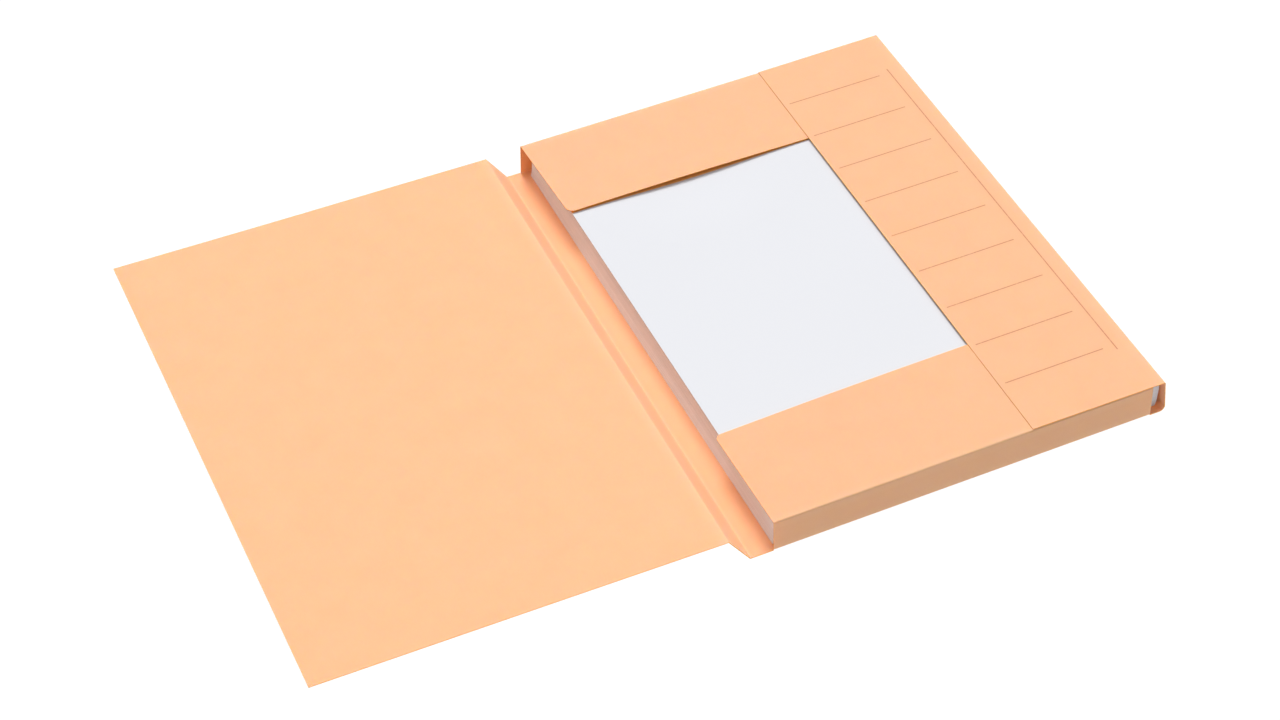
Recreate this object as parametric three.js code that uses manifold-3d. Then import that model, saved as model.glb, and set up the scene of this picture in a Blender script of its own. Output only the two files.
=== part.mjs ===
// Three flap folder of coloured card, lying open, with A4 sheets under its three flaps.
// One sheet of card is scored and folded. Where it opens in use, at the spine, the cover and the
// side flap, the panels are separate so that they can turn about the score between them.
// Millimetres, +Z up. The origin is the centre of the base's underside.
import * as THREE from 'three';
import { mergeVertices } from 'three/addons/utils/BufferGeometryUtils.js';
import Module from 'manifold-3d';

const wasm = await Module();
wasm.setup();

// The card and its folds
const CARD = 0.4; // thickness
const END_FOLD_RADIUS = 1.0; // outside of the folds of the two end walls
const SIDE_FOLD_RADIUS = 2.0; // outside of the round fold below the side wall
const SCORE_GAP = 0.3; // between two panels at a fold that opens

// The sheets in the folder
const SHEET_WIDTH = 210;
const SHEET_LENGTH = 297;
const STACK_HEIGHT = 17.6;

// Room round the stack and between the layers
const NEAR_ROOM = 3.5;
const FAR_ROOM = 3.7;
const TOP_ROOM = 0.7;
const LAYER_GAP = 0.2; // between the end flaps and the side flap
const COVER_GAP = 0.3; // between the side flap and the closed cover

// Base and end walls, from the stack's left side
const LEDGE = 12.6; // base past the stack, up to the spine's fold
const NEAR_WALL_INSET = 0.6;
const FAR_WALL_OUTSET = 3.5;
const END_WALL_STOP = 8.3; // from the end walls' right ends to the side wall's outer face

// Flaps
const NEAR_FLAP_DEPTH = 63.7; // at its left corner, from the near wall's outer face
const NEAR_FLAP_FLARE = 1.6; // how far its left side runs out towards the free edge
const NEAR_FLAP_SKEW = 0.95; // degrees, free edge to the fold
const NEAR_FLAP_CORNER = 2.0;
const FAR_FLAP_DEPTH = 61.6;
const FAR_FLAP_FLARE = -2.2;
const FAR_FLAP_SKEW = 0.35;
const FAR_FLAP_CORNER = 5.0;
const SIDE_FLAP_WIDTH = 74; // from the side wall's outer face

// Cover
const COVER_WIDTH = 207;
const SPINE_ANGLE = 56.5; // degrees between the open spine strip and the table
const COVER_RISE = 1.0; // degrees by which the open cover rises from its fold

const FOLD_STEPS = 8; // flat steps round a quarter of a fold

// What follows from them
const length = CARD + NEAR_ROOM + SHEET_LENGTH + FAR_ROOM + CARD;
const sideRoom = SIDE_FOLD_RADIUS - CARD; // the stack stops where the fold starts to rise
const wallFace = SHEET_WIDTH + sideRoom + CARD;
const endWallStop = wallFace - END_WALL_STOP;
const endTop = CARD + STACK_HEIGHT + TOP_ROOM + CARD;
const sideTop = endTop + LAYER_GAP + CARD;
const spineWidth = sideTop + COVER_GAP;
const panelStart = CARD / 2 + SCORE_GAP; // from a fold's axis to the panel past it

const radians = THREE.MathUtils.degToRad;

const cardColor = new THREE.Color(0xfbc89b);
const sheetColor = new THREE.Color(0xf2f3f7);

function cardMaterial() {
  return new THREE.MeshStandardMaterial({ color: cardColor, roughness: 0.85, metalness: 0 });
}

function sheetMaterial() {
  return new THREE.MeshStandardMaterial({ color: sheetColor, roughness: 0.9, metalness: 0 });
}

function namedMesh(name, geometry, material) {
  const mesh = new THREE.Mesh(geometry, material);
  mesh.name = name;
  return mesh;
}

// A section in X and Z, run along Y from the near edge to the far edge
function alongY(shape) {
  const geometry = new THREE.ExtrudeGeometry(shape, {
    depth: length,
    bevelEnabled: false,
    curveSegments: FOLD_STEPS,
  });
  geometry.rotateX(Math.PI / 2);
  geometry.translate(0, length, 0);
  return geometry;
}

// A section in Y and Z, run along X from one place to another
function alongX(shape, from, to) {
  const geometry = new THREE.ExtrudeGeometry(shape, {
    depth: to - from,
    bevelEnabled: false,
    curveSegments: FOLD_STEPS,
  });
  geometry.rotateX(Math.PI / 2);
  geometry.rotateZ(Math.PI / 2);
  geometry.translate(from, 0, 0);
  return geometry;
}

// An outline in X and Y, run up along Z from one height to another
function alongZ(shape, from, to) {
  const geometry = new THREE.ExtrudeGeometry(shape, {
    depth: to - from,
    bevelEnabled: false,
    curveSegments: FOLD_STEPS,
  });
  geometry.translate(0, 0, from);
  return geometry;
}

function toSolid(geometry) {
  const bare = geometry.clone();
  bare.deleteAttribute('normal');
  bare.deleteAttribute('uv');
  const merged = mergeVertices(bare, 1e-5);
  return new wasm.Manifold(new wasm.Mesh({
    numProp: 3,
    vertProperties: Float32Array.from(merged.attributes.position.array),
    triVerts: Uint32Array.from(merged.index.array),
  }));
}

function toGeometry(solid) {
  const mesh = solid.getMesh();
  const geometry = new THREE.BufferGeometry();
  geometry.setAttribute('position', new THREE.BufferAttribute(mesh.vertProperties, 3));
  geometry.setIndex(new THREE.BufferAttribute(mesh.triVerts, 1));
  const faceted = geometry.toNonIndexed();
  faceted.computeVertexNormals();
  return faceted;
}

function rectangle(left, near, right, far) {
  const shape = new THREE.Shape();
  shape.moveTo(left, near);
  shape.lineTo(right, near);
  shape.lineTo(right, far);
  shape.lineTo(left, far);
  shape.closePath();
  return shape;
}

// Base panel: round at the spine's fold, curled up at the right to carry the side wall
function baseSection() {
  const half = CARD / 2;
  const curl = wallFace - SIDE_FOLD_RADIUS;
  const shape = new THREE.Shape();
  shape.moveTo(-LEDGE, CARD);
  shape.absarc(-LEDGE, half, half, Math.PI / 2, Math.PI * 1.5, false);
  shape.lineTo(curl, 0);
  shape.absarc(curl, SIDE_FOLD_RADIUS, SIDE_FOLD_RADIUS, -Math.PI / 2, 0, false);
  shape.absarc(wallFace - half, SIDE_FOLD_RADIUS, half, 0, Math.PI, false);
  shape.absarc(curl, SIDE_FOLD_RADIUS, SIDE_FOLD_RADIUS - CARD, 0, -Math.PI / 2, true);
  shape.closePath();
  return shape;
}

// End wall and its flap as one folded strip, its outer face at 0 and the flap running inwards.
// The strip starts on the base, a little inside it, so that the two join.
function endSection(reach) {
  const outer = END_FOLD_RADIUS;
  const inner = END_FOLD_RADIUS - CARD;
  const join = END_FOLD_RADIUS * 2;
  const top = endTop;
  const bend = top - END_FOLD_RADIUS;
  const quarter = Math.PI / 2;
  const shape = new THREE.Shape();
  shape.moveTo(join, CARD);
  shape.absarc(outer, outer, inner, Math.PI * 1.5, Math.PI, true);
  shape.absarc(outer, bend, inner, Math.PI, quarter, true);
  shape.lineTo(reach, top - CARD);
  shape.lineTo(reach, top);
  shape.absarc(outer, bend, outer, quarter, Math.PI, false);
  shape.absarc(outer, outer, outer, Math.PI, Math.PI * 1.5, false);
  shape.lineTo(join, 0);
  shape.closePath();
  return shape;
}

// Plan of an end flap, cut with two round corners, between its wall's left and right ends
function flapPlan({ left, right, depth, flare, skew, corner }) {
  const slope = Math.tan(radians(skew));
  const freeLeft = left - flare;
  const freeRight = right - flare;
  const depthRight = depth + slope * (freeRight - freeLeft);
  const along = new THREE.Vector2(1, slope).normalize().multiplyScalar(corner);
  const down = new THREE.Vector2(-flare, depth).normalize().multiplyScalar(corner);
  const leftCorner = new THREE.Vector2(freeLeft, depth);
  const rightCorner = new THREE.Vector2(freeRight, depthRight);
  const outside = -END_FOLD_RADIUS;
  const shape = new THREE.Shape();
  shape.moveTo(left, outside);
  shape.lineTo(right, outside);
  shape.lineTo(right, 0);
  shape.lineTo(rightCorner.x - down.x, rightCorner.y - down.y);
  shape.quadraticCurveTo(
    rightCorner.x, rightCorner.y,
    rightCorner.x - along.x, rightCorner.y - along.y,
  );
  shape.lineTo(leftCorner.x + along.x, leftCorner.y + along.y);
  shape.quadraticCurveTo(
    leftCorner.x, leftCorner.y,
    leftCorner.x - down.x, leftCorner.y - down.y,
  );
  shape.lineTo(left, 0);
  shape.closePath();
  return shape;
}

function endWall(flap) {
  const run = Math.abs(flap.flare);
  const rise = Math.tan(radians(flap.skew)) * (flap.right - flap.left);
  const reach = flap.depth + Math.max(0, rise) + run;
  const strip = toSolid(alongX(endSection(reach), flap.left - run, flap.right + run));
  const plan = toSolid(alongZ(flapPlan(flap), -CARD, endTop + CARD));
  return strip.intersect(plan);
}

const nearFlap = {
  left: NEAR_WALL_INSET,
  right: endWallStop,
  depth: NEAR_FLAP_DEPTH,
  flare: NEAR_FLAP_FLARE,
  skew: NEAR_FLAP_SKEW,
  corner: NEAR_FLAP_CORNER,
};

// The far flap is drawn as a near one and turned half round, so its left and right change places
const farFlapTurned = {
  left: -endWallStop,
  right: FAR_WALL_OUTSET,
  depth: FAR_FLAP_DEPTH + Math.tan(radians(FAR_FLAP_SKEW)) * (endWallStop + FAR_WALL_OUTSET),
  flare: -FAR_FLAP_FLARE,
  skew: -FAR_FLAP_SKEW,
  corner: FAR_FLAP_CORNER,
};

// The base's edge stops short of an end wall, where the card bends up into that wall
function foldNotch(left, right) {
  return toSolid(alongZ(rectangle(left, -CARD, right, END_FOLD_RADIUS), -CARD, END_FOLD_RADIUS));
}

function folderBase() {
  const nearNotch = foldNotch(nearFlap.left, nearFlap.right);
  const farNotch = foldNotch(farFlapTurned.left, farFlapTurned.right);
  const turnRound = [0, 0, 180];
  const toFarEnd = [0, length, 0];
  const farWall = endWall(farFlapTurned).rotate(turnRound).translate(toFarEnd);
  const base = toSolid(alongY(baseSection()))
    .subtract(nearNotch)
    .subtract(farNotch.rotate(turnRound).translate(toFarEnd))
    .add(endWall(nearFlap))
    .add(farWall);
  return namedMesh('folder_base', toGeometry(base), cardMaterial());
}

// A flat panel that starts just past a fold's axis. A panel that carries another ends in a round
// edge on the next fold's axis, so the panel past it turns about that edge.
function panel(name, end, carries) {
  const half = CARD / 2;
  const shape = new THREE.Shape();
  shape.moveTo(panelStart, -half);
  shape.lineTo(end, -half);
  if (carries) {
    shape.absarc(end, 0, half, -Math.PI / 2, Math.PI / 2, false);
  } else {
    shape.lineTo(end, half);
  }
  shape.lineTo(panelStart, half);
  shape.closePath();
  return namedMesh(name, alongY(shape), cardMaterial());
}

// A group on a fold's axis, turned so that its X runs at an angle above the X it is put in
function fold(x, z, degrees) {
  const group = new THREE.Group();
  group.position.set(x, 0, z);
  group.rotation.y = -radians(degrees);
  return group;
}

function spineAndCover() {
  const spineTurn = 180 - SPINE_ANGLE;
  const coverTurn = SPINE_ANGLE - COVER_RISE;
  const spineFold = fold(-LEDGE, CARD / 2, spineTurn);
  const coverFold = fold(spineWidth, 0, coverTurn);
  spineFold.add(panel('spine_strip', spineWidth, true));
  coverFold.add(panel('cover', COVER_WIDTH, false));
  spineFold.add(coverFold);
  return spineFold;
}

function sideWallAndFlap() {
  const axisX = wallFace - CARD / 2;
  const wallHeight = sideTop - CARD / 2 - SIDE_FOLD_RADIUS;
  const wallFold = fold(axisX, SIDE_FOLD_RADIUS, 90);
  const flapFold = fold(wallHeight, 0, 90);
  wallFold.add(panel('side_wall', wallHeight, true));
  flapFold.add(panel('side_flap', SIDE_FLAP_WIDTH - CARD / 2, false));
  wallFold.add(flapFold);
  return wallFold;
}

function paperStack() {
  const near = CARD + NEAR_ROOM;
  const outline = rectangle(0, near, SHEET_WIDTH, near + SHEET_LENGTH);
  const geometry = alongZ(outline, CARD, CARD + STACK_HEIGHT);
  return namedMesh('paper_stack', geometry, sheetMaterial());
}

const folder = new THREE.Group();
folder.position.set((LEDGE - wallFace) / 2, -length / 2, 0);
folder.add(folderBase(), paperStack(), spineAndCover(), sideWallAndFlap());

const part = new THREE.Group();
part.add(folder);
part.updateMatrixWorld(true);

export default part;
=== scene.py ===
import math

import bmesh
import bpy
from mathutils import Matrix, Vector, noise


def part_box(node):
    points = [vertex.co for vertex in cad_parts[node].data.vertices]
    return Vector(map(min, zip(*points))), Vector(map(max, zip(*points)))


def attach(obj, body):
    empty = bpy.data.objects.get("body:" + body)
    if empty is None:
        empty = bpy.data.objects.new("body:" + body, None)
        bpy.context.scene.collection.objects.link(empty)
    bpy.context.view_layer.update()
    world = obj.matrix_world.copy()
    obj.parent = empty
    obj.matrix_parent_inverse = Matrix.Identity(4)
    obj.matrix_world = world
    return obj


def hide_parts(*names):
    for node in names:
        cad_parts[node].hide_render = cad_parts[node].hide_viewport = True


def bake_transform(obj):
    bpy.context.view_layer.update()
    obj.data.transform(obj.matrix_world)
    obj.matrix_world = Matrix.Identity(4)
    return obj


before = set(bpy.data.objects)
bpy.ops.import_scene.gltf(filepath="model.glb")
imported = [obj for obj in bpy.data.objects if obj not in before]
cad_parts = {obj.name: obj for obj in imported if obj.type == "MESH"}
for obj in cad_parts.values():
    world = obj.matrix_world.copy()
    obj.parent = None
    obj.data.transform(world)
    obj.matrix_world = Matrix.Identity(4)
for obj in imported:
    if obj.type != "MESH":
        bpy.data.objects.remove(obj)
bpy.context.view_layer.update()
MM = 0.001


# The camera stands at the near left and looks down on the open folder. Its lens is given as a focal
# length in pixels of a picture 1280 pixels wide.
PICTURE_WIDTH = 1280
FOCAL_PIXELS = 2832.6
FILM_WIDTH = 36
NEAREST_SEEN = 0.05
FARTHEST_SEEN = 50
CAMERA_PLACE = (-0.4923, -0.9521, 1.0039)
turned = math.radians(22.314)
looking_down = math.radians(44.524)
rolled = math.radians(-2.472)

camera_data = bpy.data.cameras.new("camera")
camera_data.sensor_width = FILM_WIDTH
camera_data.lens = FILM_WIDTH * FOCAL_PIXELS / PICTURE_WIDTH
camera_data.clip_start = NEAREST_SEEN
camera_data.clip_end = FARTHEST_SEEN
camera = bpy.data.objects.new("camera", camera_data)
bpy.context.scene.collection.objects.link(camera)
bpy.context.scene.camera = camera
forward = Vector((
    math.sin(turned) * math.cos(looking_down),
    math.cos(turned) * math.cos(looking_down),
    -math.sin(looking_down),
))
level = Vector((math.cos(turned), -math.sin(turned), 0))
above = level.cross(forward)
right = level * math.cos(rolled) + above * math.sin(rolled)
upward = above * math.cos(rolled) - level * math.sin(rolled)
turn = Matrix((right, upward, -forward)).transposed().to_4x4()
camera.matrix_world = Matrix.Translation(CAMERA_PLACE) @ turn


# The table is a large sheet of opal acrylic lit from below. It gives back little of the lamp's light,
# so that no shadow shows on it. A material is written as sums of what it is made of, so this section
# also has the class that turns such sums into nodes.
TABLE_DROP = 0.1 * MM
TABLE_HALF = 6.0
TABLE_SURFACE = (0.05, 0.05, 0.05, 1)
TABLE_CLOUDY = (0.04, 0.04, 0.04, 1)
TABLE_GLOW = 1.0
TABLE_GLOW_COLOUR = (1, 1, 1, 1)
TABLE_SHEEN = 0.2
TABLE_CLOUD_SPOTS = 2
TABLE_TOOTH_SPOTS = 900
TABLE_ROUGH = 0.8
TABLE_ROUGH_VARIES = 0.1
TABLE_RELIEF = (0.02 * MM, 0.2)


class Mixed:
    """A socket in a material's nodes. Sums and products of it add their Math nodes."""

    def __init__(self, tree, socket=None):
        self.tree = tree
        self.socket = socket

    def node(self, kind, settings, inputs, output=0):
        """Adds a node: its settings are set first, then its sockets get a value or a link."""
        made = self.tree.nodes.new("ShaderNode" + kind)
        for name, value in settings.items():
            setattr(made, name, value)
        for name, value in inputs.items():
            if isinstance(value, Mixed):
                self.tree.links.new(value.socket, made.inputs[name])
            else:
                made.inputs[name].default_value = value
        return Mixed(self.tree, made.outputs[output])

    def math(self, operation, first, second):
        return self.node("Math", {"operation": operation}, {0: first, 1: second})

    def __add__(self, other):
        return self.math("ADD", self, other)

    def __radd__(self, other):
        return self.math("ADD", other, self)

    def __sub__(self, other):
        return self.math("SUBTRACT", self, other)

    def __rsub__(self, other):
        return self.math("SUBTRACT", other, self)

    def __mul__(self, other):
        return self.math("MULTIPLY", self, other)

    def __rmul__(self, other):
        return self.math("MULTIPLY", other, self)

    def fade(self, start, end):
        """0 at start and 1 at end, with a soft way between them."""
        return self.node(
            "MapRange",
            {"interpolation_type": "SMOOTHSTEP"},
            {"Value": self, "From Min": start, "From Max": end},
        )

    def attribute(self, name, output):
        return self.node("Attribute", {"attribute_name": name}, {}, output)

    def scaled(self, vector):
        return self.node("VectorMath", {"operation": "MULTIPLY"}, {0: self, 1: vector})

    def grain(self, scale, detail=3.0, roughness=0.55):
        """Noise from 0 to 1 at a number of spots for each unit of this place."""
        return self.node("TexNoise", {}, {
            "Vector": self, "Scale": scale, "Detail": detail, "Roughness": roughness,
        })

    def between(self, first, second):
        """The first colour where this is 0 and the second where it is 1. Colours are the Mix node's
        inputs 6 and 7 and its output 2."""
        settings = {"data_type": "RGBA"}
        return self.node("Mix", settings, {0: self, 6: first, 7: second}, 2)


def new_material(name, constants):
    """A material with its constant values on the shader, and the start of its sums."""
    material = bpy.data.materials.new(name)
    material.use_nodes = True
    shader = material.node_tree.nodes["Principled BSDF"]
    for socket, value in constants.items():
        shader.inputs[socket].default_value = value
    return material, shader, Mixed(material.node_tree)


def feed(shader, start, colour, roughness, height, relief):
    """Joins a surface's colour, roughness and relief, given as a depth and a strength, to its shader."""
    depth, strength = relief
    bumps = start.node("Bump", {}, {
        "Strength": strength, "Distance": depth, "Height": height,
    })
    for socket, value in (("Base Color", colour), ("Roughness", roughness), ("Normal", bumps)):
        start.tree.links.new(value.socket, shader.inputs[socket])


acrylic, acrylic_shader, start = new_material("lit_acrylic", {
    "Specular IOR Level": TABLE_SHEEN,
    "Emission Color": TABLE_GLOW_COLOUR, "Emission Strength": TABLE_GLOW,
})
place = start.node("TexCoord", {}, {}, "Object")
tooth = place.grain(TABLE_TOOTH_SPOTS)
feed(
    acrylic_shader, start,
    place.grain(TABLE_CLOUD_SPOTS).between(TABLE_SURFACE, TABLE_CLOUDY),
    tooth * TABLE_ROUGH_VARIES + TABLE_ROUGH, tooth, TABLE_RELIEF,
)
table_mesh = bpy.data.meshes.new("table")
table_mesh.from_pydata(
    [(x * TABLE_HALF, y * TABLE_HALF, -TABLE_DROP) for x, y in ((-1, -1), (1, -1), (1, 1), (-1, 1))],
    [], [(0, 1, 2, 3)],
)
table_mesh.materials.append(acrylic)
table = bpy.data.objects.new("table", table_mesh)
bpy.context.scene.collection.objects.link(table)


# The light: a broad lamp far off, high up behind the folder's far end, and white walls all round that
# are brighter higher up. Colours are shown as they are, with no film curve.
LAMP_AWAY = 3.0
LAMP_SPREAD = math.radians(26)
LAMP_POWER = 2.7
LAMP_FROM = Vector((0.14, 0.72, 1.0)).normalized()
ROOM_WHITE = (1.0, 1.0, 1.0, 1)
ROOM_LOW = 0.15
ROOM_HIGH = 0.66
ROOM_FADE = (0.0, 0.9)

lamp_data = bpy.data.lights.new("lamp", "SUN")
lamp_data.angle = LAMP_SPREAD
lamp_data.energy = LAMP_POWER
lamp = bpy.data.objects.new("lamp", lamp_data)
lamp.location = LAMP_FROM * LAMP_AWAY
lamp.rotation_mode = "QUATERNION"
lamp.rotation_quaternion = (-LAMP_FROM).to_track_quat("-Z", "Y")
bpy.context.scene.collection.objects.link(lamp)
room = bpy.data.worlds.new("room")
room.use_nodes = True
walls = Mixed(room.node_tree)
height = walls.node("SeparateXYZ", {}, {0: walls.node("TexCoord", {}, {}, "Generated")}, 2)
glow = height.fade(*ROOM_FADE) * (ROOM_HIGH - ROOM_LOW) + ROOM_LOW
room.node_tree.links.new(glow.socket, room.node_tree.nodes["Background"].inputs["Strength"])
room.node_tree.nodes["Background"].inputs["Color"].default_value = ROOM_WHITE
bpy.context.scene.world = room
bpy.context.scene.view_settings.view_transform = "Standard"


# The papers: some 176 loose A4 sheets, two to a layer of the mesh, knocked even by hand. The pile is
# turned a little, bows and leans towards the side wall. Under the far flap the top sheet dips. Just past
# that flap's free edge the top sheet is painted orange: painted light, for the light that comes through
# the card.
LAYER = 0.2 * MM
LAYER_JITTER = 0.10 * MM
LAYER_STAGGER = 0.35
PILE_UNEVEN = 0.25 * MM
PILE_LEAN = 0.85 * MM
PILE_BOW = 0.8 * MM
PILE_TURN = 0.0038
PILE_STEP = 7 * MM
PILE_SHARP = 35
SHEET_WAVE = 0.08 * MM
JITTER_SPOTS = (9, 9, 7.31)
UNEVEN_SPOTS = (4, 4, 0.035)
WAVE_SPOTS = (14, 11, 5)
DIP = 1.2 * MM
DIP_PLACE = (-30 * MM, 92 * MM)
DIP_REACH = (62 * MM, 50 * MM)
SHEET_WHITE = (0.700, 0.707, 0.740, 1)
SHEET_SHADE = (0.684, 0.690, 0.720, 1)
# Painted light: both colours of the pile's sides are lighter than the top's white, as painted fill
# light; the lines between them are the real sheet edges and gaps.
SHEET_EDGE_PAINTED_LIGHTER = (0.900, 0.930, 0.990, 1)
SHEET_GAP_PAINTED_LIGHTER = (0.740, 0.760, 0.800, 1)
SHEET_SHEEN = 0.25
SHEET_ROUGH = 0.82
SHEET_ROUGH_VARIES = 0.1
SHEET_RELIEF = (0.05 * MM, 0.35)
SHEET_CLOUD_SPOTS = 12
SHEET_CLOUD_SHARE = 0.5
PULP_SPOTS = 700
PULP_SHARE = 0.3
PULP_RELIEF_SHARE = 0.25
LEAF_LINES = (14, 14, 8200)
LEAF_FADE = (0.35, 0.65)
LEAF_SHARE = 0.6
BUNDLE_LINES = (5, 5, 900)
BUNDLE_FADE = (0.3, 0.7)
BUNDLE_SHARE = 0.4
LINE_DETAIL = 2
TOP_FACES_UP = (0.3, 0.8)
# Painted light: the orange painted on the top sheet just past the far flap's free edge, for light
# through the card.
PAINTED_ORANGE_LIGHT = (0.98, 0.50, 0.14, 1)
PAINTED_LIGHT_BEGINS = (90.0 * MM, 90.5 * MM)
PAINTED_LIGHT_ENDS = (96 * MM, 100 * MM)
PAINTED_LIGHT_FADES = (38 * MM, 64 * MM)
PAINTED_LIGHT_SLANT = 0.0063


def evenly(low, high, step):
    """Places from low to high, about one step apart."""
    count = max(1, round((high - low) / step))
    return [low + (high - low) * i / count for i in range(count + 1)]


def wobble(x, y, layer, spots):
    """Noise from 0 to 1. It has so many spots for each metre in X and Y, and for each layer."""
    return 0.5 + 0.5 * noise.noise(Vector((x * spots[0], y * spots[1], layer * spots[2])))


def paper_pile(low, high):
    """The pile as one closed mesh, between the low and the high corner of its solid."""
    across = evenly(low.x, high.x, PILE_STEP)
    along = evenly(low.y, high.y, PILE_STEP)
    layers = evenly(low.z, high.z, LAYER)
    mesh = bmesh.new()
    corners = {}

    def inset(x, y, layer):
        """How far in an edge lies at one height: layer by layer, and slowly changing up the pile."""
        step = LAYER_STAGGER if layer % 2 else 0.0
        jitter = (wobble(x, y, layer, JITTER_SPOTS) + step) * LAYER_JITTER
        return max(0.0, jitter + wobble(x, y, layer, UNEVEN_SPOTS) * PILE_UNEVEN)

    def corner(i, j, k):
        key = (i, j, k)
        if key not in corners:
            x, y, z = across[i], along[j], layers[k]
            gap = inset(x, y, k)
            if i in (0, len(across) - 1):
                x += gap if i == 0 else -gap
            if j in (0, len(along) - 1):
                y += gap if j == 0 else -gap
            if k == len(layers) - 1:
                z -= SHEET_WAVE * wobble(x, y, 1, WAVE_SPOTS)
                off = [(p - middle) / reach for p, middle, reach in zip((x, y), DIP_PLACE, DIP_REACH)]
                z -= DIP * math.cos(math.pi / 2 * min(1.0, math.hypot(*off))) ** 2
            up = k / (len(layers) - 1)
            pushed = PILE_LEAN * up + PILE_BOW * 4 * up * (1 - up)
            corners[key] = mesh.verts.new((x - PILE_TURN * y + pushed, y + PILE_TURN * x, z))
        return corners[key]

    def quad(*keys):
        mesh.faces.new([corner(*key) for key in keys])

    last_i, last_j, last_k = len(across) - 1, len(along) - 1, len(layers) - 1
    for i in range(last_i):
        for j in range(last_j):
            quad((i, j, last_k), (i + 1, j, last_k), (i + 1, j + 1, last_k), (i, j + 1, last_k))
            quad((i, j, 0), (i, j + 1, 0), (i + 1, j + 1, 0), (i + 1, j, 0))
    for k in range(last_k):
        for i in range(last_i):
            quad((i, 0, k), (i + 1, 0, k), (i + 1, 0, k + 1), (i, 0, k + 1))
            quad((i, last_j, k), (i, last_j, k + 1), (i + 1, last_j, k + 1), (i + 1, last_j, k))
        for j in range(last_j):
            quad((0, j, k), (0, j, k + 1), (0, j + 1, k + 1), (0, j + 1, k))
            quad((last_i, j, k), (last_i, j + 1, k), (last_i, j + 1, k + 1), (last_i, j, k + 1))
    return mesh


def put_in_scene(name, mesh, material, sharp_angle):
    """The finished mesh as an object, smooth apart from edges sharper than an angle in degrees."""
    data = bpy.data.meshes.new(name)
    bmesh.ops.recalc_face_normals(mesh, faces=mesh.faces)
    mesh.to_mesh(data)
    mesh.free()
    data.materials.append(material)
    data.shade_smooth()
    data.set_sharp_from_angle(angle=math.radians(sharp_angle))
    piece = bpy.data.objects.new(name, data)
    bpy.context.scene.collection.objects.link(piece)
    return piece


paper, paper_shader, start = new_material("white_sheets", {"Specular IOR Level": SHEET_SHEEN})
place = start.node("TexCoord", {}, {}, "Object")
facing = start.node("NewGeometry", {}, {}, "Normal")
on_side = 1 - start.node("SeparateXYZ", {}, {0: facing}, 2).fade(*TOP_FACES_UP)
pulp = place.grain(PULP_SPOTS)
leaves = place.scaled(LEAF_LINES).grain(1, LINE_DETAIL)
bundles = place.scaled(BUNDLE_LINES).grain(1, LINE_DETAIL)
edges = leaves.fade(*LEAF_FADE) * LEAF_SHARE + bundles.fade(*BUNDLE_FADE) * BUNDLE_SHARE
sheet_x, sheet_y = (start.node("SeparateXYZ", {}, {0: place}, i) for i in (0, 1))
# Painted light: a strip of the top sheet just past the far flap's free edge is painted orange, standing
# in for light through the card.
past_edge = sheet_y + sheet_x * PAINTED_LIGHT_SLANT
painted_light_under_far_flap = past_edge.fade(*PAINTED_LIGHT_BEGINS) * (1 - past_edge.fade(*PAINTED_LIGHT_ENDS)) * (1 - on_side)
painted_light_under_far_flap = painted_light_under_far_flap * (1 - sheet_x.fade(*PAINTED_LIGHT_FADES))
clouds = place.grain(SHEET_CLOUD_SPOTS) * SHEET_CLOUD_SHARE
white = (clouds + pulp * PULP_SHARE).between(SHEET_WHITE, SHEET_SHADE)
# Painted light: faces that look sideways get the side colours, which are painted lighter than the top
# for fill light they lack.
feed(
    paper_shader, start,
    painted_light_under_far_flap.between(
        on_side.between(white, edges.between(SHEET_EDGE_PAINTED_LIGHTER, SHEET_GAP_PAINTED_LIGHTER)), PAINTED_ORANGE_LIGHT,
    ),
    pulp * SHEET_ROUGH_VARIES + SHEET_ROUGH,
    leaves * on_side + pulp * (1 - on_side) * PULP_RELIEF_SHARE, SHEET_RELIEF,
)
pile = put_in_scene("sheets", paper_pile(*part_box("paper_stack")), paper, PILE_SHARP)
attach(pile, "base")
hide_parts("paper_stack")


# The base: the middle panel of the one sheet of card, cut on a press and scored with a blunt rule.
# Both end walls rise from it and carry a flap each, folded in over the papers. The flaps bow up a
# little where the side flap does not hold them down.
CARD = 0.4 * MM
CARD_STEP = 5 * MM
CARD_SHARP = 40
END_FOLD_OUTSIDE = 1.0 * MM
END_FOLD = END_FOLD_OUTSIDE - CARD / 2
SIDE_CURL_OUTSIDE = 2.0 * MM
SEAM = 2.0 * MM
CREASE_WIDTH = 0.9 * MM
WALL_STEP = 4 * MM
FOLD_STEPS = 8
CORNER_STEPS = 8
RUN_ON = 1.0
WELDS_PER_METRE = 1e7
SLACK = 1e-9
NEAR_END = -1
FAR_END = 1
NEAR_FOOT = (-100.1 * MM, 105.4 * MM)
NEAR_WALL = NEAR_FOOT
NEAR_FREE = (-101.2 * MM, 102.4 * MM)
NEAR_DEPTHS = (63.3 * MM, 67.1 * MM)
NEAR_CORNER = 3.2 * MM
NEAR_LIFT = 0.6 * MM
NEAR_LIFT_BEGINS = 0.0
NEAR_LIFT_GROWS = 1.5
FAR_FOOT = (-104.2 * MM, 104.0 * MM)
FAR_WALL = (-103.2 * MM, 104.0 * MM)
FAR_FREE = (-101.0 * MM, 106.2 * MM)
FAR_DEPTHS = (61.6 * MM, 62.9 * MM)
FAR_CORNER = 4.2 * MM
FAR_LIFT = 0.65 * MM
FAR_LIFT_BEGINS = 0.16
FAR_LIFT_GROWS = 2
FAR_LIFT_PEAKS = 1.2
HELD_DOWN_X = 36 * MM
CARD_PEACH = (0.900, 0.444, 0.250, 1)
CARD_PALE = (0.930, 0.484, 0.284, 1)
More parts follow.
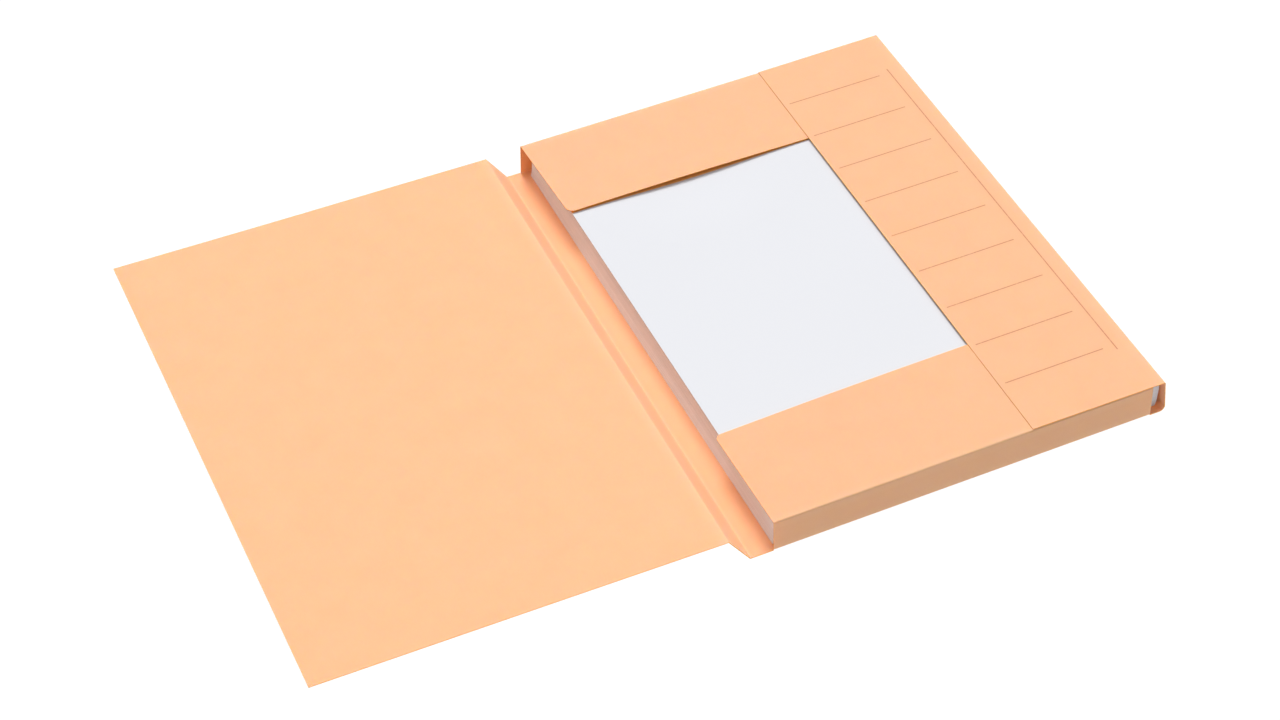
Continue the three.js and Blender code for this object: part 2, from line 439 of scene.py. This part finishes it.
# Painted light: the cut rims' deep orange is the card's edge colour with a painted glow of the light
# that comes through the card.
CARD_CUT_PAINTED_GLOW = (0.950, 0.360, 0.070, 1)
CARD_WORN = (0.935, 0.535, 0.330, 1)
CARD_THROUGH = (1.0, 0.85, 0.27)
CARD_THROUGH_SCALE = 1.0 * MM
CARD_THROUGH_SHARE = 0.65
CARD_SHEEN = 0.25
CARD_ROUGH = 0.76
CARD_ROUGH_VARIES = 0.12
CARD_RELIEF = (0.035 * MM, 0.30)
CLOUD_SPOTS = 55
CLOUD_DETAIL = 4
CLOUD_STRENGTH = 0.9
FIBRE_SPOTS = (1500, 520, 1500)
FIBRE_DETAIL = 3
FIBRE_ROUGHNESS = 0.6
FIBRE_STRENGTH = 0.7
FIBRE_RELIEF = 0.6
TOOTH_SPOTS = 1500
TOOTH_DETAIL = 2
TOOTH_RELIEF = 0.4
WORN_LEAST = 0.35
WORN_FIBRES = 0.4


class CardSheet:
    """A sheet of card as a grid on its middle, made thick at the end. Points are welded where their
    places round to the same ten-millionth of a metre."""

    def __init__(self):
        self.index = {}
        self.points = []
        self.faces = []
        self.seams = set()

    def point(self, place, inward, flat, crease):
        key = tuple(round(c * WELDS_PER_METRE) for c in place)
        if key not in self.index:
            self.index[key] = len(self.points)
            self.points.append((Vector(place), Vector(inward), flat, crease))
        return self.index[key]

    def grid(self, rows):
        """Quads between rows of points, each point a place, its inward side, flat place and crease."""
        made = [[self.point(*p) for p in row] for row in rows]
        for a, b in zip(made, made[1:]):
            for i in range(len(a) - 1):
                self.faces.append((a[i], a[i + 1], b[i + 1], b[i]))
        return made

    def thick(self):
        """The closed sheet: both faces, and a rim round it that is marked as cut by the press, apart
        from the seams."""
        mesh = bmesh.new()
        flat_layer = mesh.verts.layers.float_vector.new("flat_place")
        crease_layer = mesh.verts.layers.float.new("crease")
        rim_layer = mesh.faces.layers.float.new("cut_edge")
        used = {}
        for face in self.faces:
            for a, b in zip(face, face[1:] + face[:1]):
                used[frozenset((a, b))] = used.get(frozenset((a, b)), 0) + 1

        def vert(i, side):
            place, inward, flat, crease = self.points[i]
            made = mesh.verts.new(place + inward * side * CARD / 2)
            made[flat_layer] = (flat[0], flat[1], side * CARD / 2)
            made[crease_layer] = crease
            return made

        inner = [vert(i, 1) for i in range(len(self.points))]
        outer = [vert(i, -1) for i in range(len(self.points))]
        for face in self.faces:
            mesh.faces.new([inner[i] for i in face])
            mesh.faces.new([outer[i] for i in reversed(face)])
        for face in self.faces:
            for a, b in zip(face, face[1:] + face[:1]):
                if used[frozenset((a, b))] == 1:
                    rim = mesh.faces.new((inner[b], inner[a], outer[a], outer[b]))
                    rim[rim_layer] = 0.0 if a in self.seams and b in self.seams else 1.0
        return mesh


def card_material(name, printed):
    """Light orange card: dyed pulp with cloudy fibres, a felt-like tooth, and cut edges of a deeper
    orange, which is the edge's own colour with a painted glow of the light through the card. It is thin
    enough to let some of the light through, red most of all."""
    material, shader, start = new_material(name, {
        "Specular IOR Level": CARD_SHEEN, "Subsurface Weight": CARD_THROUGH_SHARE,
        "Subsurface Radius": CARD_THROUGH, "Subsurface Scale": CARD_THROUGH_SCALE,
    })
    place = start.attribute("flat_place", "Vector")
    worn = start.attribute("crease", "Fac")
    cut = start.attribute("cut_edge", "Fac")
    clouds = place.grain(CLOUD_SPOTS, CLOUD_DETAIL)
    fibres = place.scaled(FIBRE_SPOTS).grain(1, FIBRE_DETAIL, FIBRE_ROUGHNESS)
    tooth = place.grain(TOOTH_SPOTS, TOOTH_DETAIL)
    strength = (clouds - 0.5) * CLOUD_STRENGTH + (fibres - 0.5) * FIBRE_STRENGTH + 0.5
    colour = strength.between(CARD_PEACH, CARD_PALE)
    colour = (worn * (WORN_LEAST + fibres * WORN_FIBRES)).between(colour, CARD_WORN)
    # Painted light: the cut rims get a deeper orange, partly a painted glow of light through the card.
    colour = cut.between(colour, CARD_CUT_PAINTED_GLOW)
    if printed:
        colour = printed_rules(start, place, fibres).between(colour, RULE_INK)
    height = fibres * FIBRE_RELIEF + tooth * TOOTH_RELIEF
    feed(shader, start, colour, fibres * CARD_ROUGH_VARIES + CARD_ROUGH, height, CARD_RELIEF)
    return material


def fold_path(begin, heading, steps):
    """The card's middle line in a section: straight runs (length, 0) and folds (length, turn)."""
    def at(distance):
        a, b, angle = begin[0], begin[1], heading
        for length, bend in steps:
            part = min(distance, length)
            if bend == 0:
                a += part * math.cos(angle)
                b += part * math.sin(angle)
            else:
                curve = bend / length
                after = angle + curve * part
                a += (math.sin(after) - math.sin(angle)) / curve
                b -= (math.cos(after) - math.cos(angle)) / curve
                angle = after
            distance -= part
            if distance <= 0:
                break
        return a, b, angle
    return at


def stations(steps, step):
    """Distances along a folded strip: close together round its folds."""
    made, begin = [0.0], 0.0
    for length, bend in steps:
        count = max(1, round(length / step)) if bend == 0 else FOLD_STEPS
        made += [begin + length * (i + 1) / count for i in range(count)]
        begin += length
    return made


def worn_at(distance, creases):
    """How worn the card is there: 1 on a crease, and less away from it."""
    return max(math.exp(-((distance - c) / CREASE_WIDTH) ** 2) for c in creases)


def round_corner(room, radius):
    """How far in the side of a flap lies at this distance from its free edge."""
    if room >= radius:
        return 0.0
    return radius - math.sqrt(max(0.0, radius ** 2 - (radius - room) ** 2))


base_low, base_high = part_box("folder_base")
side_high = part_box("side_wall")[1]
near_y, far_y = base_low.y, base_high.y
flap_top = base_high.z
spine_axis = Vector((-112.3 * MM, 0, CARD / 2))
curl_start = side_high.x - SIDE_CURL_OUTSIDE
fold_y = far_y - END_FOLD_OUTSIDE


def base_columns():
    """Places across the base in X. Both sides of each end wall's foot are among them."""
    breaks = sorted((spine_axis.x + SEAM, curl_start - SEAM) + NEAR_FOOT + FAR_FOOT)
    made = [breaks[0]]
    for low, high in zip(breaks, breaks[1:]):
        made += evenly(low, high, CARD_STEP)[1:]
    return made


def base_panel(sheet, columns):
    """The flat panel, with a strip beside each end wall's foot. Its rims next to the spine and to the
    side wall count as cut too, but those pieces hide them."""
    rows = [near_y] + evenly(-fold_y, fold_y, CARD_STEP) + [far_y]

    def row_points(y, low, high):
        return [
            ((x, y, CARD / 2), (0, 0, 1), (x, y), 0.0)
            for x in columns if low - SLACK <= x <= high + SLACK
        ]

    everywhere = (columns[0], columns[-1])
    for y, after in zip(rows[1:-2], rows[2:-1]):
        sheet.grid([row_points(y, *everywhere), row_points(after, *everywhere)])
    for edge, fold, foot in ((near_y, -fold_y, NEAR_FOOT), (far_y, fold_y, FAR_FOOT)):
        for low, high in ((columns[0], foot[0]), (foot[1], columns[-1])):
            sheet.grid([row_points(edge, low, high), row_points(fold, low, high)])


def end_flap(sheet, columns, end, foot, wall, free, depths, corner, lift):
    """An end wall and its flap. end is NEAR_END or FAR_END. foot, wall and free are its left and
    right side at its foot, at the wall's top and at the flap's free edge."""
    quarter = math.pi / 2
    shortest = min(depths)
    wall_run = flap_top - 2 * END_FOLD_OUTSIDE
    flap_run = shortest - END_FOLD_OUTSIDE
    before = 2 * END_FOLD * quarter + wall_run
    steps = [
        (END_FOLD * quarter, -quarter), (wall_run, 0),
        (END_FOLD * quarter, -quarter), (flap_run - corner, 0), (corner, 0),
    ]
    path = fold_path((-fold_y, CARD / 2), math.pi, steps + [(RUN_ON, 0)])
    rows = []
    marks = stations(steps[:4], WALL_STEP)
    marks += [
        before + flap_run - corner * (1 - math.sin(quarter * i / CORNER_STEPS))
        for i in range(1, CORNER_STEPS + 1)
    ]
    across = [(x - foot[0]) / (foot[1] - foot[0]) for x in columns if foot[0] <= x <= foot[1]]
    creases = (END_FOLD * quarter / 2, before - END_FOLD * quarter / 2)
    for distance in marks:
        risen = min(1.0, distance / before)
        share = max(0.0, distance - before) / flap_run
        low, high = (
            foot[i] + (wall[i] - foot[i]) * risen + (free[i] - wall[i]) * share for i in (0, 1)
        )
        room = before + flap_run - distance
        inset = round_corner(room, corner)
        row = []
        for t in across:
            x = low + inset + (high - low - 2 * inset) * t
            stretch = share * ((depths[0] + (depths[1] - depths[0]) * t) - shortest)
            a, b, angle = path(distance + stretch)
            inward = (0, -end * math.sin(angle), -math.cos(angle))
            raised = b + lift(x, share)
            row.append((
                (x, -end * a, raised), inward,
                (x, end * (fold_y + distance + stretch)), worn_at(distance, creases),
            ))
        rows.append(row)
    sheet.grid(rows)


def arch(x, left, begin):
    """A low bow along a flap's free edge, which the side flap holds down at its right. At the left
    end it is already so far along its half wave."""
    from_left = min(1.0, max(0.0, (x - left) / (HELD_DOWN_X - left)))
    return math.sin(math.pi * (begin + (1 - begin) * from_left)) if from_left < 1 else 0.0


def far_lift(x, share):
    """The far flap stands off the papers along its free edge, most in the middle of what shows."""
    bow = arch(x, FAR_FREE[0], FAR_LIFT_BEGINS) ** FAR_LIFT_PEAKS
    return FAR_LIFT * share ** FAR_LIFT_GROWS * bow


def near_lift(x, share):
    """The near flap bows up a little too."""
    return NEAR_LIFT * share ** NEAR_LIFT_GROWS * arch(x, NEAR_FREE[0], NEAR_LIFT_BEGINS)


plain_card = card_material("orange_card", printed=False)
base_sheet = CardSheet()
columns = base_columns()
base_panel(base_sheet, columns)
end_flap(
    base_sheet, columns, NEAR_END,
    NEAR_FOOT, NEAR_WALL, NEAR_FREE, NEAR_DEPTHS, NEAR_CORNER, near_lift,
)
end_flap(
    base_sheet, columns, FAR_END,
    FAR_FOOT, FAR_WALL, FAR_FREE, FAR_DEPTHS, FAR_CORNER, far_lift,
)
base = put_in_scene("base_with_end_flaps", base_sheet.thick(), plain_card, CARD_SHARP)
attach(base, "base")
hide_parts("folder_base")


# The spine: a strip a little wider than the papers are high, between two scores. The cover follows it
# in the same sheet, so the two meet halfway up the strip, and each bends round its own score.
SPINE_WIDTH = 20.0 * MM
SPINE_ANGLE = math.radians(56.5)
COVER_RISE = math.radians(1.0)
COVER_WIDTH = 207 * MM
SCORE = 0.6 * MM
COVER_WAVE = 0.35 * MM
COVER_SPOTS = (1.6, 5.5, 2.7)
COVER_STIFF = 0.08
COVER_LOOSENS = 2.5


def running_strip(begin, heading, steps, flat_begin, flat_way, inward_side, wave, ends_cut):
    """A strip of card as long as the folder, drawn by its section in X and Z. It begins at a hidden
    seam and ends at a cut or at another seam. For a share of the strip and a place along the folder,
    wave gives how far the card stands in there and how far it is moved along."""
    path = fold_path(begin, heading, steps)
    marks = stations(steps, CARD_STEP)
    total = marks[-1]
    creases, passed = [], 0.0
    for length, bend in steps:
        if bend:
            creases.append(passed + length / 2)
        passed += length
    sheet = CardSheet()
    rows = []
    run = [near_y] + evenly(-fold_y, fold_y, CARD_STEP) + [far_y]
    for distance in marks:
        a, b, angle = path(distance)
        side = Vector((-math.sin(angle), 0, math.cos(angle))) * inward_side
        worn = worn_at(distance, creases)
        row = []
        for y in run:
            inwards, moved = wave(distance / total, y)
            place = Vector((a, y + moved, b)) + side * inwards
            row.append((place, side, (flat_begin + flat_way * distance, y), worn))
        rows.append(row)
    made = sheet.grid(rows)
    sheet.seams.update(made[0])
    if not ends_cut:
        sheet.seams.update(made[-1])
    return sheet


def still(share, y):
    """No wave, for a strip that its folds hold flat."""
    return 0.0, 0.0


def loosened(share, stiff, rate):
    """0 over the stiff share of a strip beside its fold, and then up to 1 at a rate."""
    return min(1.0, max(0.0, share - stiff) * rate)


def low_wave(share, y, spots):
    """Slow noise from -1 to 1 over a strip."""
    return noise.noise(Vector((share * spots[0], y * spots[1], spots[2])))


def cover_wave(share, y):
    """The large free panel is never quite flat: long low waves that die out towards the fold."""
    free = loosened(share, COVER_STIFF, COVER_LOOSENS)
    return COVER_WAVE * free * low_wave(share, y, COVER_SPOTS), 0.0


def tangent(angle):
    """From a score to where its round begins."""
    return SCORE * math.tan(angle / 2)


spine_trim = tangent(SPINE_ANGLE)
cover_turn = SPINE_ANGLE - COVER_RISE
cover_trim = tangent(cover_turn)
half_spine = SPINE_WIDTH / 2
spine_steps = [
    (SEAM - spine_trim, 0), (SCORE * SPINE_ANGLE, -SPINE_ANGLE), (half_spine - spine_trim, 0),
]
spine_heading = math.pi - SPINE_ANGLE
spine_way = Vector((math.cos(spine_heading), 0, math.sin(spine_heading)))
spine_middle = spine_axis + spine_way * half_spine
cover_steps = [
    (half_spine - cover_trim, 0), (SCORE * cover_turn, cover_turn),
    (COVER_WIDTH - cover_trim, 0),
]
spine = put_in_scene("spine", running_strip(
    (spine_axis.x + SEAM, spine_axis.z), math.pi, spine_steps,
    flat_begin=spine_axis.x + SEAM, flat_way=-1, inward_side=-1, wave=still, ends_cut=False,
).thick(), plain_card, CARD_SHARP)
cover = put_in_scene("front_cover", running_strip(
    (spine_middle.x, spine_middle.z), spine_heading, cover_steps,
    flat_begin=spine_axis.x - half_spine, flat_way=-1, inward_side=-1,
    wave=cover_wave, ends_cut=True,
).thick(), plain_card, CARD_SHARP)
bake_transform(spine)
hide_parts("spine_strip")
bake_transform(cover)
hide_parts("cover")


# The side wall and its flap, which folds in last and lies over both end flaps. The papers hold the
# wall's foot off its score, so the wall rises from the base in a soft round that stands out a little,
# and leans in above it. The flap is ruled for notes.
WALL_FOLD = 0.7 * MM
WALL_ROUND = 2.8 * MM
WALL_LEAN = math.radians(5)
SIDE_FLAP_WIDTH = 73.4 * MM
FLAP_REST = 0.13 * MM
FLAP_WAVE = 0.04 * MM
FLAP_SPOTS = (1.3, 7.0, 8.1)
FLAP_STIFF = 0.15
FLAP_LOOSENS = 1.8
FLAP_SHORT = 0.6 * MM
RULE_INK = (0.62, 0.19, 0.10, 1)
RULE_COUNT = 9
RULE_PITCH = 29.8 * MM
RULE_MIDDLE = 0.45 * MM
RULE_LEFT = 42.0 * MM
RULE_RIGHT = 97.0 * MM
RULE_WIDTH = 0.6 * MM
RULE_SOFT = 0.1 * MM
RULE_EDGE = (0.25 * RULE_WIDTH, 0.75 * RULE_WIDTH)
RULES_STOP = (1.0 * MM, 2.0 * MM)
RULE_BREAKS = (900, 700, 1)
RULE_BREAK_DETAIL = 2
RULE_BREAK_FADE = (0.30, 0.52)
RULE_FAINT = 0.6
INK_LEAST = 0.7
INK_FIBRES = 0.4
MARGIN_X = 103.2 * MM
MARGIN_HALF = 122.5 * MM
MARGIN_SOFT = 0.3 * MM
OUTER_FACE_FADE = (-CARD * 0.4, 0.0)
side_axis = Vector((side_high.x - CARD / 2, 0, SIDE_CURL_OUTSIDE))
flap_axis = Vector((side_axis.x, 0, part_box("side_flap")[1].z - CARD / 2))
wall_turn = math.pi / 2 + WALL_LEAN
flap_turn = math.pi - wall_turn
flap_trim = WALL_FOLD * math.tan(flap_turn / 2)
wall_begin = curl_start - SEAM
wall_foot_z = CARD / 2 + WALL_ROUND * (1 - math.cos(wall_turn))
wall_run = (flap_axis.z - wall_foot_z) / math.sin(wall_turn)
foot_run = (
    flap_axis.x - wall_begin - WALL_ROUND * math.sin(wall_turn) - wall_run * math.cos(wall_turn)
)
flap_begin = wall_begin + foot_run + WALL_ROUND * wall_turn + wall_run / 2
flap_fold_flat = flap_begin + wall_run / 2 - 2 * flap_trim + WALL_FOLD * flap_turn


def printed_rules(start, place, fibres):
    """Thin rules in a darker orange on the outer face: short ones across the flap and a long one
    beside its fold. The card's outer face lies below 0 in its flat place."""
    parts = [start.node("SeparateXYZ", {}, {0: place}, i) for i in range(3)]
    across = flap_fold_flat + flap_axis.x - parts[0]
    along = parts[1] - RULE_MIDDLE
    line = start.node("Math", {"operation": "PINGPONG"}, {0: along, 1: RULE_PITCH / 2})
    half = (RULE_COUNT - 1) / 2 * RULE_PITCH
    size = start.node("Math", {"operation": "ABSOLUTE"}, {0: along})
    breaks = place.scaled(RULE_BREAKS).grain(1, RULE_BREAK_DETAIL).fade(*RULE_BREAK_FADE)
    broken = breaks * (1 - RULE_FAINT) + RULE_FAINT
    inside = across.fade(RULE_LEFT - RULE_SOFT, RULE_LEFT + RULE_SOFT)
    inside = inside * (1 - across.fade(RULE_RIGHT - RULE_SOFT, RULE_RIGHT + RULE_SOFT))
    inside = inside * (1 - size.fade(half + RULES_STOP[0], half + RULES_STOP[1]))
    short = inside * (1 - line.fade(*RULE_EDGE))
    off = start.node("Math", {"operation": "ABSOLUTE"}, {0: across - MARGIN_X})
    margin = 1 - off.fade(*RULE_EDGE)
    margin = margin * (1 - size.fade(MARGIN_HALF, MARGIN_HALF + MARGIN_SOFT))
    outside = 1 - parts[2].fade(*OUTER_FACE_FADE)
    return (short + margin) * outside * broken * (INK_LEAST + fibres * INK_FIBRES)


def flap_wave(share, y):
    """The side flap's free edge rests on the end flaps, and its ends are cut a little slanted."""
    free = loosened(share, FLAP_STIFF, FLAP_LOOSENS)
    towards_middle = {near_y: 1, far_y: -1}.get(y, 0)
    inwards = free * (FLAP_REST + FLAP_WAVE * low_wave(share, y, FLAP_SPOTS))
    return inwards, FLAP_SHORT * share * towards_middle


wall_steps = [(foot_run, 0), (WALL_ROUND * wall_turn, wall_turn), (wall_run / 2, 0)]
flap_steps = [
    (wall_run / 2 - flap_trim, 0), (WALL_FOLD * flap_turn, flap_turn),
    (SIDE_FLAP_WIDTH - flap_trim, 0),
]
wall_way = Vector((math.cos(wall_turn), 0, math.sin(wall_turn)))
wall_middle = flap_axis - wall_way * wall_run / 2
side = put_in_scene("side_wall_card", running_strip(
    (wall_begin, CARD / 2), 0.0, wall_steps,
    flat_begin=wall_begin, flat_way=1, inward_side=1, wave=still, ends_cut=False,
).thick(), plain_card, CARD_SHARP)
flap = put_in_scene("side_flap_card", running_strip(
    (wall_middle.x, wall_middle.z), wall_turn, flap_steps,
    flat_begin=flap_begin, flat_way=1, inward_side=1, wave=flap_wave, ends_cut=True,
).thick(), card_material("ruled_card", printed=True), CARD_SHARP)
Vector((wall_begin + foot_run, 0, CARD / 2))
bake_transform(side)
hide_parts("side_wall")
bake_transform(flap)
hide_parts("side_flap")
